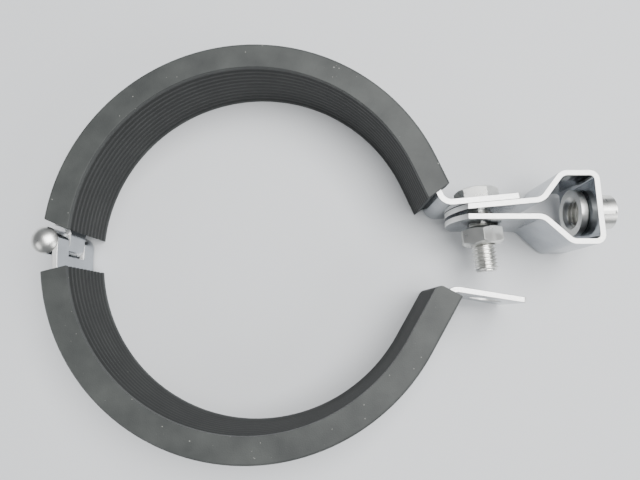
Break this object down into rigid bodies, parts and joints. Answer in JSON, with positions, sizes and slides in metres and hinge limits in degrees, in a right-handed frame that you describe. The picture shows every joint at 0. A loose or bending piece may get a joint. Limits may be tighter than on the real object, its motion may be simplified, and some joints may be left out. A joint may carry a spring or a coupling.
{
  "type": "rubber lined pipe clamp",
  "caption": "Hinged stainless pipe hanging band with a rubber lining, a clamp bolt through its ears and a folded swivel bracket with a turn nut for a threaded hanger rod.",
  "frame": {"origin": "on the pipe axis, the centre of the upper half's bore, at half the band's width", "axes": "+Z along the pipe, +X from the hinge towards the bolt and the hanger bracket, +Y towards the upper half"},
  "size_m": [0.1924, 0.1355, 0.0287],
  "materials": {
    "stainless_strip": "bright cold rolled stainless steel",
    "stainless_turned": "bright machined stainless steel",
    "rubber": "matt extruded rubber"
  },
  "bodies": {
    "upper_half": {"upper_band": "stainless_strip", "upper_rubber": "rubber", "hinge_pin": "stainless_turned"},
    "lower_half": {"lower_band": "stainless_strip", "lower_rubber": "rubber"},
    "bracket": {"swivel_bracket": "stainless_strip"},
    "rod_nut": {"turn_nut": "stainless_turned"},
    "bolt": {"clamp_bolt": "stainless_turned"},
    "nut": {"clamp_nut": "stainless_turned"}
  },
  "joints": [
    {"name": "band_hinge", "type": "hinge", "parent": "upper_half", "child": "lower_half", "pos_m": [-0.06578, -0.0006, 0], "axis": [0, 0, 1], "range_deg": [-170, 3]},
    {"name": "bracket_swing", "type": "hinge", "parent": "upper_half", "child": "bracket", "pos_m": [0.07731, 0.01397, 0], "axis": [-0.0924, 0.9957, 0], "range_deg": [-105, 105]},
    {"name": "turn_nut_spin", "type": "hinge", "parent": "bracket", "child": "rod_nut", "pos_m": [0.11267, 0.0107, 0], "axis": [0.9996, 0.0289, 0], "continuous": true},
    {"name": "bolt_turn", "type": "hinge", "parent": "upper_half", "child": "bolt", "pos_m": [0.07731, 0.01397, 0], "axis": [0.0924, -0.9957, 0], "range_deg": [0, 1728]},
    {"name": "nut_travel", "type": "slide", "parent": "upper_half", "child": "nut", "axis": [0.0924, -0.9957, 0], "range_m": [0, 0.006]}
  ],
  "couplings": [
    {"joint": "nut_travel", "follows": "bolt_turn", "m_per_rad": 0.00019894}
  ]
}
